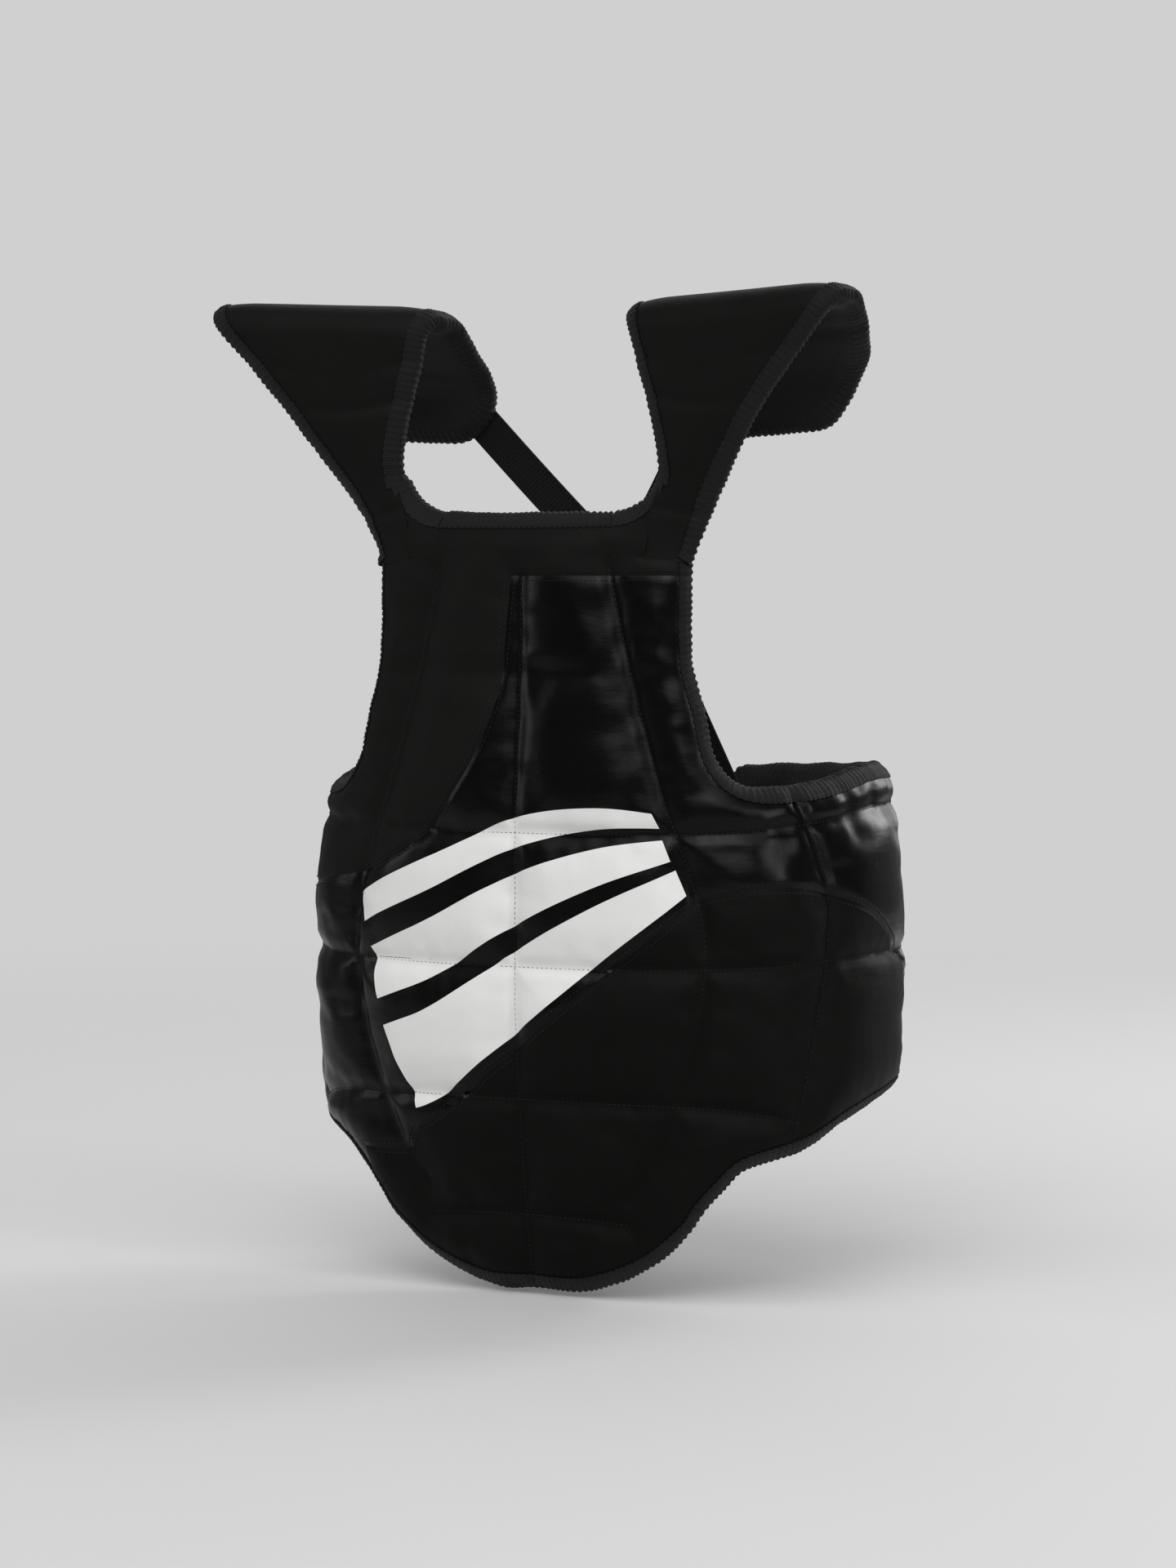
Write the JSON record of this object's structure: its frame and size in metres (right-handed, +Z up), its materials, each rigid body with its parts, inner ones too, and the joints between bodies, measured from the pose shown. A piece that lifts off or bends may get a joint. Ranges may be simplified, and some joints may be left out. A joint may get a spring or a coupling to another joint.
{
  "type": "chest protector",
  "caption": "Padded body protector for boxing and martial arts: quilted front, side wings, shoulder flaps, crossed elastic back straps and a waist belt.",
  "frame": {"origin": "on the wearer's body axis at waist height, midway between the side wings", "axes": "+Z up the wearer's body, the chest faces -Y, +X towards a viewer's right (the wearer's left)"},
  "size_m": [0.4854, 0.2758, 0.6746],
  "materials": {
    "charcoal_vinyl": "matte charcoal grained synthetic leather",
    "gloss_vinyl": "glossy black synthetic leather",
    "edge_tape": "black woven edge tape",
    "lining": "black nylon lining",
    "foam": "closed-cell grey foam",
    "elastic": "black ribbed elastic webbing",
    "print": "white printed film",
    "hook_and_loop": "black hook-and-loop tape"
  },
  "bodies": {
    "root": {"chest_foam": "foam", "belly_foam": "foam", "apron_foam": "foam", "front_lining": "lining", "chest_panel": "charcoal_vinyl", "gloss_sash": "gloss_vinyl", "belly_panel": "charcoal_vinyl", "neckline_binding": "edge_tape", "apron_binding": "edge_tape", "left_armhole_binding": "edge_tape", "right_armhole_binding": "edge_tape", "print_wide_stripe": "print", "print_middle_stripe": "print", "print_narrow_stripe": "print", "strap_crossing_patch": "edge_tape", "left_upper_strap": "elastic", "right_upper_strap": "elastic", "left_lower_strap": "elastic", "right_lower_strap": "elastic"},
    "left_wing": {"left_wing_foam": "foam", "left_wing_lining": "lining", "left_wing_upper_panel": "charcoal_vinyl", "left_wing_lower_panel": "gloss_vinyl", "left_wing_binding": "edge_tape"},
    "left_flap": {"left_flap_cover": "charcoal_vinyl", "left_flap_foam": "foam", "left_flap_lining": "lining", "left_flap_binding": "edge_tape"},
    "right_wing": {"right_wing_foam": "foam", "right_wing_lining": "lining", "right_wing_upper_panel": "gloss_vinyl", "right_wing_lower_panel": "charcoal_vinyl", "right_wing_binding": "edge_tape", "closure_loop_patch": "hook_and_loop"},
    "right_flap": {"right_flap_cover": "charcoal_vinyl", "right_flap_foam": "foam", "right_flap_lining": "lining", "right_flap_binding": "edge_tape"},
    "back_belt": {"waist_belt": "elastic", "closure_hook_patch": "hook_and_loop"}
  },
  "joints": [
    {"name": "right_wing_swing", "type": "hinge", "parent": "root", "child": "right_wing", "pos_m": [0.1327, -0.1279, 0], "axis": [0, 0, -1], "range_deg": [0, 30], "deforming": ["right_lower_strap"]},
    {"name": "left_wing_swing", "type": "hinge", "parent": "root", "child": "left_wing", "pos_m": [-0.1327, -0.1279, 0], "axis": [0, 0, 1], "range_deg": [0, 30], "deforming": ["left_lower_strap"]},
    {"name": "belt_peel", "type": "hinge", "parent": "left_wing", "child": "back_belt", "pos_m": [-0.1456, 0.1008, -0.0175], "axis": [0, 0, 1], "range_deg": [0, 60]},
    {"name": "right_flap_fold", "type": "hinge", "parent": "root", "child": "right_flap", "pos_m": [0.105, -0.1154, 0.26075], "axis": [0.9824, 0.1867, 0], "range_deg": [-15, 16], "deforming": ["right_upper_strap"]},
    {"name": "left_flap_fold", "type": "hinge", "parent": "root", "child": "left_flap", "pos_m": [-0.105, -0.1154, 0.26075], "axis": [0.9824, -0.1867, 0], "range_deg": [-15, 16], "deforming": ["left_upper_strap"]}
  ],
  "couplings": [
    {"joint": "belt_peel", "follows": "right_wing_swing", "ratio": 2}
  ]
}
